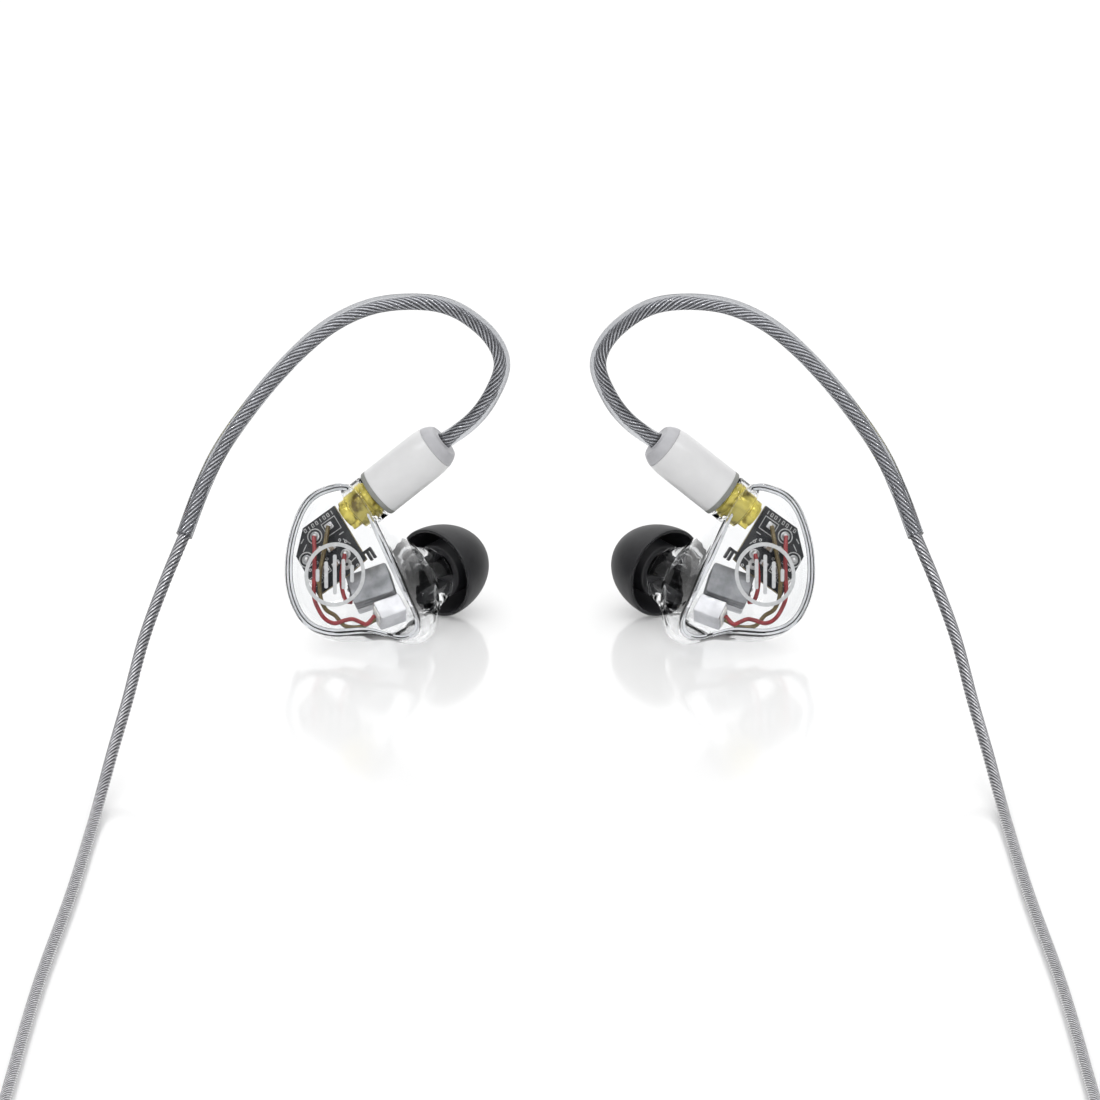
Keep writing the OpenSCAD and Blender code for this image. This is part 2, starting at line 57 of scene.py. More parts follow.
# The bond to the faceplate, drawn as painted shade, leaves a narrow band clear, this far in from the
# outline.
BOND_GAP = (0.3, 0.46)
RIM_POINTS = [(2.3, 10.8), (-1.7, 11.1), (-4.6, 9), (-6.5, 4), (-6.6, -1.4), (-4.7, -5.6),
              (-1.2, -7.4), (4.3, -7.5), (9.1, -8.5), (10.9, -6.8), (9, -2.1), (6, 4.6)]

# Ear tip
TIP_CENTRE = np.array([7.9, 1.5, -14.8])
TIP_WAY = np.array([0.39, 0.41, -0.83])
TIP_AXIS = TIP_WAY / np.linalg.norm(TIP_WAY)
NECK_CENTRE = TIP_CENTRE - 1.2 * TIP_AXIS
TIP_R, TIP_H, TIP_SKIN, STEM_R = 5.8, 8.0, 0.5, 3.5

# Cable connector
BOOT_FACE = np.array([4.21, 10.31, -3.6])
BOOT_AXIS = np.array([math.cos(math.radians(35)), math.sin(math.radians(35)), 0.0])
BOOT_SIDE = np.array([-BOOT_AXIS[1], BOOT_AXIS[0], 0])
BOOT_R, BOOT_LEN, COLLAR_LEN = 3.15, 9.6, 1.4
SOCKET_R, SOCKET_BORE, SOCKET_HOLE_R = 2.0, 1.6, 1.7
BOSS_R, BOSS_DEPTH, BOSS_GAP = 3.0, 3.2, 0.25

# Drivers
WOOFER_W, WOOFER_H, MID_W, MID_T, TWEETER_W, TWEETER_T = 5.3, 4.2, 3.5, 2.6, 2.6, 1.5

# Board, pads and wires
BOARD_Z, BOARD_T, WIRE_R = -3.2, 0.6, 0.27
BOARD_FRONT = BOARD_Z + BOARD_T
BOARD = [(-0.95, 8.95), (-5.1, 6.3), (-6, 2.8), (-3.1, -2.3), (1.2, 0.4), (3.3, 2.1)]
ROUND_PADS = [(-3.5, 5.2), (-4.6, 2.3), (0.6, 2.8)]
ROUND_RINGS = [0.95, 0.95, 0.62]
SQUARE_PADS = [(-1.6, 6.4), (-2.2, 1)]

# Cords
HOOK_R, CORE_R, CORE_OFFSET, BRANCH_R, MAIN_R = 1.05, 0.62, 0.24, 0.75, 1.0
# Lay of the strands, and the share of each strand's width across its middle that is painted as a
# glint.
LAY_LENGTH, GLINT_WIDTH = 8.0, 0.35
ROUTE_STEP, LEAD_STEP = 0.4, 0.45
HOOK = [(-10, 6.5, 27.5), (-7.5, 6, 31), (-6, 5.5, 35.5), (-7.5, 5, 39.5), (-11.5, 4, 43.2),
        (-16, 2.5, 44.9), (-22, 1, 44.9), (-27.5, -1.5, 43.1), (-32.5, -4.5, 39.5),
        (-37, -7.5, 35), (-41, -10.5, 30), (-43.5, -13.5, 25.5), (-45.5, -17, 21)]
BRANCH = [(-45.5, -17, 21), (-48, -22.5, 16.5), (-50.4, -30, 12), (-52.3, -39.5, 7.5),
          (-54.1, -49, 4), (-55.5, -58.5, 1.5), (-56.5, -68, 0.8), (-58.6, -90, 0.8),
          (-62, -120, 0.8), (-64.5, -148, 0.8), (-66, -170, 0.8), (-64, -183, 0.8),
          (-57.5, -192.5, 0.8), (-47, -197, 0.8), (-34, -197.5, 0.8), (-20, -197.5, 0.8),
          (-9, -200, 1.2), (-3.5, -206.5, 2), (-1.8, -214, 2.4), (-1.8, -228, 2.4),
          (-1.8, -242, 2.4)]
PAIR_X, PAIR_Z = 1.8, 2.4
SLIDER_Y, SPLIT_Y = (-240, -232), (-256, -242)
LEAD_START = [(0, -256, 2.4), (0, -260, 2.1), (0, -264, 1.8), (0, -268, 1.65)]
COIL_X, COIL_Y, COIL_LOW, COIL_TURNS = 14.0, -272.0, 1.6, 11.25
COIL_MIDDLE_R, COIL_MIDDLE_Z = 12.0, 4.6
COIL_PLACES = [(14, 0), (12, 0), (10, 0), (10, 1), (12, 1), (14, 1), (14, 2), (12, 2), (10, 2),
               (10, 3), (12, 3), (14, 3)]
TAIL = [(16.5, -285.6, 7.4), (20, -286.6, 6.9), (24, -288.6, 5.4), (27.5, -290.4, 4),
        (30, -291, 3.6)]
JACK_Y, JACK_Z, RELIEF_X, JACK_X, CONTACT_X = -291.0, 3.6, 30.0, 40.0, 57.0
GRIP_R, PLUG_R = 3.58, 1.75


# ---- small geometry ----
def unit(v):
    return v / np.linalg.norm(v, axis=-1, keepdims=True)


def rot(axis, degrees):
    c, s = math.cos(math.radians(degrees)), math.sin(math.radians(degrees))
    rows = {"x": [[1, 0, 0], [0, c, -s], [0, s, c]], "y": [[c, 0, s], [0, 1, 0], [-s, 0, c]],
            "z": [[c, -s, 0], [s, c, 0], [0, 0, 1]]}
    return np.array(rows[axis])


def placed(points, angles=(0, 0, 0), shift=(0, 0, 0)):
    turn = rot("z", angles[2]) @ rot("y", angles[1]) @ rot("x", angles[0])
    return np.asarray(points, float) @ turn.T + np.asarray(shift, float)


EAR = rot("z", -TURN) @ rot("x", 90 - LEAN) @ rot("z", ROLL)


def stood(points):
    return np.asarray(points, float) @ EAR.T + (-GAP / 2, 0, HEIGHT)


def across(axis):
    side = np.cross(axis, (0, 0, 1)) if abs(axis[2]) < 0.9 else np.cross(axis, (1, 0, 0))
    side = unit(side)
    return side, np.cross(axis, side)


def spline(p, q, r, s, t):
    return 0.5 * (2 * q + (r - p) * t + (2 * p - 5 * q + 4 * r - s) * t**2
                  + (3 * q - p - 3 * r + s) * t**3)


def closed_curve(points, steps):
    p = np.asarray(points, float)
    n = len(p)
    return np.array([spline(p[i - 1], p[i], p[(i + 1) % n], p[(i + 2) % n], k / steps)
                     for i in range(n) for k in range(steps)])


def even(line, step):
    """The same line with points a fixed step apart."""
    gone = np.concatenate([[0], np.cumsum(np.linalg.norm(np.diff(line, axis=0), axis=1))])
    at = np.linspace(0, gone[-1], max(2, int(round(gone[-1] / step)) + 1))
    return np.stack([np.interp(at, gone, line[:, k]) for k in range(3)], axis=1)


def smooth_route(points, step):
    p = np.asarray(points, float)
    p = np.vstack([2 * p[0] - p[1], p, 2 * p[-1] - p[-2]])
    fine = 24
    line = [spline(*p[i:i + 4], k / fine) for i in range(len(p) - 3) for k in range(fine)]
    return even(np.array(line + [p[-2]]), step)


def length_of(line):
    return float(np.linalg.norm(np.diff(line, axis=0), axis=1).sum())


class Form:
    """Points and faces of one piece, each face with the number of its material."""

    def __init__(self):
        self.points, self.faces, self.marks = np.zeros((0, 3)), [], []

    def add(self, points, faces, mark=0):
        base = len(self.points)
        self.points = np.vstack([self.points, np.asarray(points, float).reshape(-1, 3)])
        self.faces += [[i + base for i in f] for f in faces]
        self.marks += [mark] * len(faces)
        return self

    def join(self, other, mark=None):
        base = len(self.points)
        self.points = np.vstack([self.points, other.points])
        self.faces += [[i + base for i in f] for f in other.faces]
        self.marks += other.marks if mark is None else [mark] * len(other.faces)
        return self

    def put(self, angles=(0, 0, 0), shift=(0, 0, 0)):
        self.points = placed(self.points, angles, shift)
        return self


def loft(rings, mark=0, wrap=False, caps=(True, True)):
    """Skin over rings of equally many points."""
    rows, cols = len(rings), len(rings[0])
    form = Form()
    faces = []
    for i in range(rows if wrap else rows - 1):
        a, b = i * cols, ((i + 1) % rows) * cols
        faces += [(a + k, a + (k + 1) % cols, b + (k + 1) % cols, b + k) for k in range(cols)]
    if not wrap:
        if caps[0]:
            faces.append(tuple(range(cols))[::-1])
        if caps[1]:
            faces.append(tuple((rows - 1) * cols + k for k in range(cols)))
    return form.add(np.concatenate(rings), faces, mark)


def lathe(profile, base, axis, sides=64, mark=0, wrap=False, caps=(True, True)):
    """Turned piece: profile lists radius and distance along the axis."""
    u, v = across(axis)
    a = np.arange(sides) * 2 * math.pi / sides
    way = np.outer(np.cos(a), u) + np.outer(np.sin(a), v)
    return loft([base + t * axis + r * way for r, t in profile], mark, wrap, caps)


def softened(profile, by):
    """A closed profile with each corner rounded a little."""
    steps = 3
    p = np.asarray(profile, float)
    out = []
    for i in range(len(p)):
        here, before, after = p[i], p[i - 1], p[(i + 1) % len(p)]
        cut = min(by, 0.4 * np.linalg.norm(before - here), 0.4 * np.linalg.norm(after - here))
        a, b = here + cut * unit(before - here), here + cut * unit(after - here)
        for k in range(steps + 1):
            t = k / steps
            out.append((1 - t)**2 * a + 2 * t * (1 - t) * here + t * t * b)
    return [tuple(q) for q in out]


def inset(outline, by):
    """A counter-clockwise outline moved inwards."""
    o = np.asarray(outline, float)
    e1, e2 = unit(o - np.roll(o, 1, 0)), unit(np.roll(o, -1, 0) - o)
    n1, n2 = np.stack([-e1[:, 1], e1[:, 0]], 1), np.stack([-e2[:, 1], e2[:, 0]], 1)
    return o + by * (n1 + n2) / (1 + (n1 * n2).sum(1, keepdims=True))


def rounded_rect(w, h, r, steps=4):
    corners = [(w / 2 - r, h / 2 - r, 0), (r - w / 2, h / 2 - r, 90),
               (r - w / 2, r - h / 2, 180), (w / 2 - r, r - h / 2, 270)]
    return [(x + r * math.cos(math.radians(a + 90 * k / steps)),
             y + r * math.sin(math.radians(a + 90 * k / steps)))
            for x, y, a in corners for k in range(steps + 1)]


def slab(outline, low, high, edge, mark=0):
    """Plate of an outline between two heights, with rounded edges."""
    steps = 3
    ups = [math.radians(90 * k / steps) for k in range(steps + 1)]
    levels = [(edge * (1 - math.sin(a)), low + edge * (1 - math.cos(a))) for a in ups]
    levels += [(edge * (1 - math.sin(a)), high - edge * (1 - math.cos(a))) for a in ups[::-1]]
    rings = [np.column_stack([inset(outline, by), np.full(len(outline), z)]) for by, z in levels]
    return loft(rings, mark)


def carried(line):
    """Two normals at each point of a line, carried along it without twist."""
    along = unit(np.gradient(line, axis=0))
    ups = np.zeros_like(line)
    up = np.array([0.3, 0.2, 0.9])
    for i, d in enumerate(along):
        up = unit(up - (up @ d) * d)
        ups[i] = up
    return ups, np.cross(along, ups)


def tube(line, radius, sides=24):
    """Round rod along a line."""
    u, v = carried(line)
    a = np.arange(sides) * 2 * math.pi / sides
    return loft([p + radius * (np.outer(np.cos(a), x) + np.outer(np.sin(a), y))
                 for p, x, y in zip(line, u, v)])


def strand_section(strands, per, depth):
    """Angles, and radii as shares of the cord's, round a bundle of strands."""
    k = np.arange(strands * per)
    across_one = (k % per) / per * 2 - 1
    return k * 2 * math.pi / (strands * per), 1 - depth * (1 - np.sqrt(1 - 0.96 * across_one**2))


def twisted(line, radius, strands, per, depth, start=0.0):
    """Cord of strands laid round each other along a line, with a painted glint marked along the
    middle of each strand.

    per is the number of points across a strand, depth the groove between two strands as a
    share of the radius, and start the length of cord before the line."""
    u, v = carried(line)
    gone = np.concatenate([[0], np.cumsum(np.linalg.norm(np.diff(line, axis=0), axis=1))])
    angle, share = strand_section(strands, per, depth)
    rings = []
    for p, x, y, s in zip(line, u, v, gone + start):
        a = angle + 2 * math.pi * s / LAY_LENGTH
        rings.append(p + radius * share[:, None] * (np.outer(np.cos(a), x)
                                                    + np.outer(np.sin(a), y)))
    form = loft(rings)
    # Faces near the middle of each strand take the second material, a painted glint.
    glint_faces = [int(abs((k % per + 0.5) / per * 2 - 1) < GLINT_WIDTH) for k in range(strands * per)]
    form.marks = glint_faces * (len(rings) - 1) + [0, 0]
    return form


def cut(first, second, how):
    """Boolean of two forms."""
    made = []
    for form in (first, second):
        mesh = bpy.data.meshes.new("work")
        mesh.from_pydata(form.points.tolist(), [], form.faces)
        bm = bmesh.new()
        bm.from_mesh(mesh)
        bmesh.ops.recalc_face_normals(bm, faces=bm.faces)
        bm.to_mesh(mesh)
        bm.free()
        ob = bpy.data.objects.new("work", mesh)
        bpy.context.scene.collection.objects.link(ob)
        made.append(ob)
    mod = made[0].modifiers.new("cut", "BOOLEAN")
    mod.operation, mod.object, mod.solver = how, made[1], "EXACT"
    result = made[0].evaluated_get(bpy.context.evaluated_depsgraph_get()).to_mesh()
    out = Form().add([v.co[:] for v in result.vertices], [p.vertices[:] for p in result.polygons])
    for ob in made:
        mesh = ob.data
        bpy.data.objects.remove(ob)
        bpy.data.meshes.remove(mesh)
    return out


# ---- pieces ----
def make(name, form, mats, body, nodes=(), sharp=35):
    mesh = bpy.data.meshes.new(name)
    mesh.from_pydata((form.points * MM).tolist(), [], form.faces)
    for m in mats:
        mesh.materials.append(m)
    mesh.polygons.foreach_set("material_index", form.marks)
    bm = bmesh.new()
    bm.from_mesh(mesh)
    bmesh.ops.recalc_face_normals(bm, faces=bm.faces)
    bm.to_mesh(mesh)
    bm.free()
    mesh.polygons.foreach_set("use_smooth", [True] * len(mesh.polygons))
    mesh.set_sharp_from_angle(angle=math.radians(sharp))
    ob = bpy.data.objects.new(name, mesh)
    bpy.context.scene.collection.objects.link(ob)
    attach(ob, body)
    if nodes:
        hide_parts(*nodes)
    return ob


def both(name, form, mats, body, nodes=(), local=True, sharp=35):
    """The left piece and its mirror image on the right."""
    made = []
    for side, flip in (("left", 1), ("right", -1)):
        own = Form().join(form)
        own.points = (stood(own.points) if local else own.points) * (flip, 1, 1)
        made.append(make(f"{side}.{name}", own, mats,
                         "cable" if body == "cable" else f"{side}_{body}",
                         [f"{side}_{n}" for n in nodes], sharp))
    return made


# ---- materials ----
class Shade:
    """A node material on the Principled shader, built up step by step."""

    def __init__(self, name):
        self.mat = bpy.data.materials.new(name)
        self.mat.use_nodes = True
        self.tree = self.mat.node_tree
        self.bsdf = self.tree.nodes["Principled BSDF"]
        self.coord = self.tree.nodes.new("ShaderNodeTexCoord").outputs["Object"]

    def node(self, kind, **inputs):
        node = self.tree.nodes.new("ShaderNode" + kind)
        for key, value in inputs.items():
            node.inputs[key.replace("_", " ")].default_value = value
        return node

    def link(self, a, b):
        self.tree.links.new(a, b)

    def noise(self, scale, detail=3.0):
        node = self.node("TexNoise", Scale=scale, Detail=detail, Roughness=0.55)
        self.link(self.coord, node.inputs["Vector"])
        return node.outputs["Fac"]

    def colour(self, source, dark, light, low=0.35, high=0.65):
        ramp = self.tree.nodes.new("ShaderNodeValToRGB")
        for stop, at, tint in zip(ramp.color_ramp.elements, (low, high), (dark, light)):
            stop.position = at
            stop.color = (*tint, 1)
        self.link(source, ramp.inputs["Fac"])
        self.link(ramp.outputs["Color"], self.bsdf.inputs["Base Color"])
        return self

    def rough(self, source, low, high):
        span = self.node("MapRange")
        span.inputs["To Min"].default_value = low
        span.inputs["To Max"].default_value = high
        self.link(source, span.inputs["Value"])
        self.link(span.outputs["Result"], self.bsdf.inputs["Roughness"])
        return self

    def bump(self, source, height):
        node = self.node("Bump", Strength=1.0, Distance=height * MM)
        self.link(source, node.inputs["Height"])
        self.link(node.outputs["Normal"], self.bsdf.inputs["Normal"])
        return self

    def set(self, **values):
        for key, value in values.items():
            self.bsdf.inputs[key.replace("_", " ")].default_value = value
        return self

    def lets_lamps_through(self, tint):
        """Lamps shine through clear pieces as they do through thin plastic."""
        path = self.node("LightPath")
        open_ = self.node("BsdfTransparent", Color=(*tint, 1))
        mix = self.tree.nodes.new("ShaderNodeMixShader")
        out = self.tree.nodes["Material Output"]
        self.link(path.outputs["Is Shadow Ray"], mix.inputs["Fac"])
        self.link(self.bsdf.outputs["BSDF"], mix.inputs[1])
        self.link(open_.outputs["BSDF"], mix.inputs[2])
        self.link(mix.outputs["Shader"], out.inputs["Surface"])
        return self


def plain(name, dark, light, rough, scale=900.0, metal=0.0, relief=0.0, fine=2600.0,
          span=(0.35, 0.65), **values):
    """Moulded or plated finish with slight unevenness of colour, gloss and surface."""
    s = Shade(name)
    grain = s.noise(scale)
    s.colour(grain, dark, light, *span).rough(s.noise(scale * 0.6, 2.0), *rough)
    if relief:
        s.bump(s.noise(fine, 2.0), relief)
    s.set(Metallic=metal, **values)
    return s.mat


def clear(name, tint, ior, rough, relief, scale, shadow):
    """Clear plastic with a slight waviness, tinted by shadow where lamps shine through."""
    s = Shade(name)
    s.colour(s.noise(scale * 0.5, 1.0), tuple(0.985 * c for c in tint), tint)
    s.bump(s.noise(scale, 1.0), relief)
    s.set(Transmission_Weight=1.0, IOR=ior, Roughness=rough)
    return s.lets_lamps_through(shadow).mat


ACRYLIC = clear("clear_acrylic", (0.985, 0.99, 0.995), 1.45, 0.0, 0.07, 260.0, (0.95, 0.955, 0.96))
WINDOW = clear("clear_faceplate", (0.985, 0.99, 0.995), 1.28, 0.0, 0.02, 160.0, (0.95, 0.955, 0.96))
# Opaque grey on the rim's bonded top: painted shade standing in for the grey lines the clear glass
# shows along the bond.
BOND_SHADE = plain("bonded_rim_painted_shade", (0.52, 0.53, 0.55), (0.74, 0.75, 0.77), (0.4, 0.6), 300.0)
SOFT_TUBE = clear("soft_tube", (0.2, 0.2, 0.21), 1.42, 0.04, 0.01, 600.0, (0.6, 0.61, 0.63))
SLEEVE = clear("hook_sleeve", (0.5, 0.51, 0.53), 1.4, 0.06, 0.01, 500.0, (0.55, 0.56, 0.58))
PRINT = plain("printed_ink", (0.48, 0.49, 0.50), (0.56, 0.57, 0.58), (0.42, 0.6), 2500.0,
              relief=0.004)
MASK = plain("circuit_board", (0.010, 0.011, 0.013), (0.022, 0.023, 0.026), (0.3, 0.45), 700.0,
             relief=0.002, fine=3000.0, Specular_IOR_Level=0.2)
SILK = plain("board_print", (0.3, 0.3, 0.3), (0.5, 0.5, 0.5), (0.5, 0.7), 3000.0)
BARE = plain("board_edge", (0.2, 0.16, 0.08), (0.3, 0.24, 0.12), (0.5, 0.7), 1500.0)
SOLDER = plain("solder", (0.38, 0.38, 0.39), (0.66, 0.66, 0.66), (0.2, 0.4), 1800.0, metal=0.9,
               relief=0.02)
CERAMIC = plain("chip_body", (0.16, 0.12, 0.09), (0.28, 0.23, 0.18), (0.35, 0.5), 2500.0)
GOLD = plain("socket_gold", (0.16, 0.11, 0.01), (0.64, 0.54, 0.11), (0.22, 0.36), 600.0, metal=0.6,
             relief=0.01, span=(0.36, 0.5))
BRIGHT_GOLD = plain("gold_contact", (0.80, 0.60, 0.24), (0.86, 0.66, 0.28), (0.12, 0.2), 900.0,
                    metal=1.0)
PTFE = plain("ptfe", (0.78, 0.77, 0.73), (0.86, 0.85, 0.82), (0.4, 0.55), 1200.0)
CAN_GREY = plain("driver_grey", (0.17, 0.175, 0.185), (0.33, 0.335, 0.35), (0.3, 0.48), 420.0,
                 metal=0.85, relief=0.01)
CAN_SILVER = plain("driver_silver", (0.50, 0.50, 0.52), (0.62, 0.62, 0.64), (0.26, 0.38), 500.0,
                   metal=0.85, relief=0.004)
DAMPER = plain("damper", (0.03, 0.03, 0.032), (0.07, 0.07, 0.075), (0.7, 0.9), 6000.0, relief=0.02)
STEEL = plain("screen_steel", (0.4, 0.4, 0.41), (0.58, 0.58, 0.6), (0.25, 0.4), 1500.0, metal=1.0)
RED = plain("wire_red", (0.2, 0.008, 0.012), (0.32, 0.015, 0.02), (0.3, 0.45), 1500.0,
            Coat_Weight=0.2)
GREEN = plain("wire_green", (0.08, 0.055, 0.012), (0.14, 0.10, 0.03), (0.3, 0.45), 1500.0,
              Coat_Weight=0.2)
SILICONE = plain("black_silicone", (0.006, 0.006, 0.008), (0.011, 0.011, 0.013), (0.44, 0.54),
                 700.0, relief=0.004, Specular_IOR_Level=0.5)
BOOT_WHITE = plain("boot_white", (0.66, 0.66, 0.665), (0.69, 0.69, 0.695), (0.3, 0.38), 350.0,
                   relief=0.003, Coat_Weight=0.3, Coat_Roughness=0.25)
BOOT_RIM = plain("boot_rim", (0.20, 0.205, 0.19), (0.26, 0.265, 0.25), (0.4, 0.55), 700.0)
COLLAR = plain("collar_grey", (0.42, 0.42, 0.44), (0.48, 0.48, 0.50), (0.4, 0.5), 600.0)
CORD = plain("cord", (0.10, 0.10, 0.11), (0.17, 0.17, 0.185), (0.25, 0.38), 1500.0, metal=0.6,
             Coat_Weight=1.0, Coat_Roughness=0.07)
# A brighter, glossier silver on the middle of each strand: a painted glint; the rest of the cord
# keeps its plain grey.
STRAND_GLINT = plain("painted_strand_glint", (0.36, 0.36, 0.38), (0.62, 0.62, 0.64), (0.12, 0.24), 1500.0,
               metal=0.9, Coat_Weight=1.0, Coat_Roughness=0.07)
CORE_GAP = plain("core_gap", (0.15, 0.15, 0.16), (0.24, 0.24, 0.26), (0.25, 0.38), 1500.0,
                 metal=0.6, Coat_Weight=1.0, Coat_Roughness=0.07)
# Brighter still on the hook's core: a painted glint on each strand, seen through the sleeve.
CORE_STRAND_GLINT = plain("painted_core_glint", (0.7, 0.7, 0.72), (0.9, 0.9, 0.92), (0.12, 0.24), 1500.0,
                      metal=0.9, Coat_Weight=1.0, Coat_Roughness=0.07)
SPLIT = plain("split_grey", (0.46, 0.46, 0.48), (0.49, 0.49, 0.51), (0.3, 0.42), 500.0,
              Coat_Weight=0.3)
TIE = plain("tie_black", (0.015, 0.015, 0.017), (0.035, 0.035, 0.038), (0.55, 0.75), 3500.0,
            relief=0.03, fine=5000.0)
JACK_GREY = plain("jack_grey", (0.10, 0.105, 0.115), (0.125, 0.13, 0.14), (0.26, 0.4), 900.0,
                  metal=0.9)

# ---- camera ----
camera = bpy.data.objects.new("camera", bpy.data.cameras.new("camera"))
bpy.context.scene.collection.objects.link(camera)
camera.data.lens, camera.data.sensor_width = 1000, 36
camera.data.clip_start, camera.data.clip_end = 0.1, 200
aim = np.array([0, 0, HEIGHT + AIM_ABOVE])
away = VIEW_WIDTH * camera.data.lens / camera.data.sensor_width
camera.location = (aim + away * np.array([0, -math.cos(ELEVATION), math.sin(ELEVATION)])) * MM
camera.rotation_euler = (math.pi / 2 - ELEVATION, 0, 0)
bpy.context.scene.camera = camera


# ---- cords ----
boot_exit = stood(BOOT_FACE + (BOOT_LEN + 0.4) * BOOT_AXIS)
hook_line = smooth_route([tuple(boot_exit)] + HOOK, ROUTE_STEP)
branch_line = smooth_route(BRANCH, ROUTE_STEP)

sleeve = tube(hook_line, HOOK_R, 32)
both("hook_sleeve", sleeve, [SLEEVE], "cable", ["ear_hook"], local=False)

# Inside the sleeve the cord lies towards the inner side of each bend.
bend = np.gradient(np.gradient(hook_line, axis=0), axis=0) / ROUTE_STEP**2
sharpness = np.linalg.norm(bend, axis=1, keepdims=True)
core_line = hook_line + CORE_OFFSET * bend / np.maximum(sharpness, 0.05)
core = twisted(core_line, CORE_R, 9, 6, 0.25)
both("hook_core", core, [CORE_GAP, CORE_STRAND_GLINT], "cable", local=False)

branch = twisted(branch_line, BRANCH_R, 10, 6, 0.22, start=length_of(hook_line))
branches = both("branch", branch, [CORD, STRAND_GLINT], "cable", ["branch_cord"], local=False)


def eased(t):
    t = np.clip(t, 0, 1)
    return t * t * (3 - 2 * t)


def coil_line():
    """Turns side by side and on each other, each moving to its next place near its end."""
    line = []
    for a in np.arange(0, COIL_TURNS * 360 + 1, 5.0):
        i = min(int(a // 360), len(COIL_PLACES) - 1)
        r0, row0 = COIL_PLACES[i]
        r1, row1 = COIL_PLACES[min(i + 1, len(COIL_PLACES) - 1)]
        t = eased((a - 360 * i - 260) / 70)
        r, z = r0 + (r1 - r0) * t, COIL_LOW + 2 * (row0 + (row1 - row0) * t)
        turn = math.radians(180 + a)
        line.append((COIL_X + r * math.cos(turn), COIL_Y + r * math.sin(turn), z))
    return line


main_line = smooth_route(LEAD_START + coil_line() + TAIL, LEAD_STEP)
main = make("main_lead", twisted(main_line, MAIN_R, 9, 5, 0.14), [CORD, STRAND_GLINT], "cable",
            ["main_cord", "main_coil"])


# ---- floor and light ----
def floor():
    half = 30000 * MM
    s = Shade("floor")
    s.colour(s.noise(6.0), (0.87, 0.87, 0.87), (0.89, 0.89, 0.89))
    s.rough(s.noise(30.0), 0.115, 0.135).set(IOR=1.56)
    mesh = bpy.data.meshes.new("floor")
    mesh.from_pydata([(-half, -half, 0), (half, -half, 0), (half, half, 0), (-half, half, 0)], [],
                     [(0, 1, 2, 3)])
    mesh.materials.append(s.mat)
    ground = bpy.data.objects.new("floor", mesh)
    bpy.context.scene.collection.objects.link(ground)


def lamp(name, at, toward, size, power):
    """Soft lamp that casts no shadow, for an even floor."""
    data = bpy.data.lights.new(name, "AREA")
    data.shape, data.size, data.size_y, data.energy = "RECTANGLE", size[0], size[1], power
    data.use_shadow = False
    ob = bpy.data.objects.new(name, data)
    bpy.context.scene.collection.objects.link(ob)
    ob.location = at
    way = np.asarray(toward, float) - np.asarray(at, float)
    pitch = math.atan2(math.hypot(way[0], way[1]), -way[2])
    ob.rotation_euler = (pitch, 0, math.atan2(-way[0], way[1]))
    ob.visible_camera = False


def studio():
    """White surroundings that grow darker towards both sides."""
    world = bpy.data.worlds.new("studio")
    bpy.context.scene.world = world
    world.use_nodes = True
    tree = world.node_tree
    parts = tree.nodes.new("ShaderNodeSeparateXYZ")
    tree.links.new(tree.nodes.new("ShaderNodeTexCoord").outputs["Generated"],
                   parts.inputs["Vector"])
    aside = tree.nodes.new("ShaderNodeMath")
    aside.operation = "ABSOLUTE"
    tree.links.new(parts.outputs["X"], aside.inputs[0])
    ramp = tree.nodes.new("ShaderNodeValToRGB")
    ramp.color_ramp.interpolation = "EASE"
    tree.links.new(aside.outputs["Value"], ramp.inputs["Fac"])
    stops = ramp.color_ramp.elements
    stops[1].color = (0.28, 0.28, 0.28, 1)
    stops[0].color = (1, 1, 1, 1)
    stops.new(0.45).color = (1, 1, 1, 1)
    stops.new(0.8).color = (0.32, 0.32, 0.32, 1)
    tree.links.new(ramp.outputs["Color"], tree.nodes["Background"].inputs["Color"])
    tree.nodes["Background"].inputs["Strength"].default_value = 1.27


floor()
lamp("key", (-0.45, -0.3, 0.55), (0, 0, 0.02), (0.12, 0.05), 0.4)
lamp("fill", (0.45, -0.3, 0.55), (0, 0, 0.02), (0.12, 0.05), 0.4)
lamp("top", (0, 0.1, 0.8), (0, 0, 0.02), (0.5, 0.1), 0.6)
studio()
bpy.context.scene.view_settings.view_transform = "Standard"

# ---- cup and faceplate ----
RIM = closed_curve(RIM_POINTS, 12)
MID = RIM.mean(0)
WAY = unit(RIM - MID)
NECK_U = unit(X_AXIS - TIP_AXIS[0] * TIP_AXIS)
NECK_V = np.cross(NECK_U, TIP_AXIS)
RIM_ANGLE = np.arctan2(WAY[:, 1], WAY[:, 0])


def at_height(outline, z):
    return np.column_stack([outline, np.full(len(outline), z)])


def neck_ring(radius, along):
    return (NECK_CENTRE + along * TIP_AXIS
            + radius * (np.outer(np.cos(RIM_ANGLE), NECK_U) + np.outer(np.sin(RIM_ANGLE), NECK_V)))


def cup_section(t):
    a = at_height(RIM, -PLATE)
    b = at_height(RIM + BELLY * WAY + BELLY_SHIFT, -PLATE - DEPTH)
    d = neck_ring(NECK_R, 0)
    c = d - NECK_PULL * TIP_AXIS
    return (1 - t)**3 * a + 3 * (1 - t)**2 * t * b + 3 * (1 - t) * t * t * c + t**3 * d


def shrunk(ring, by):
    return ring - by * unit(ring - ring.mean(0))


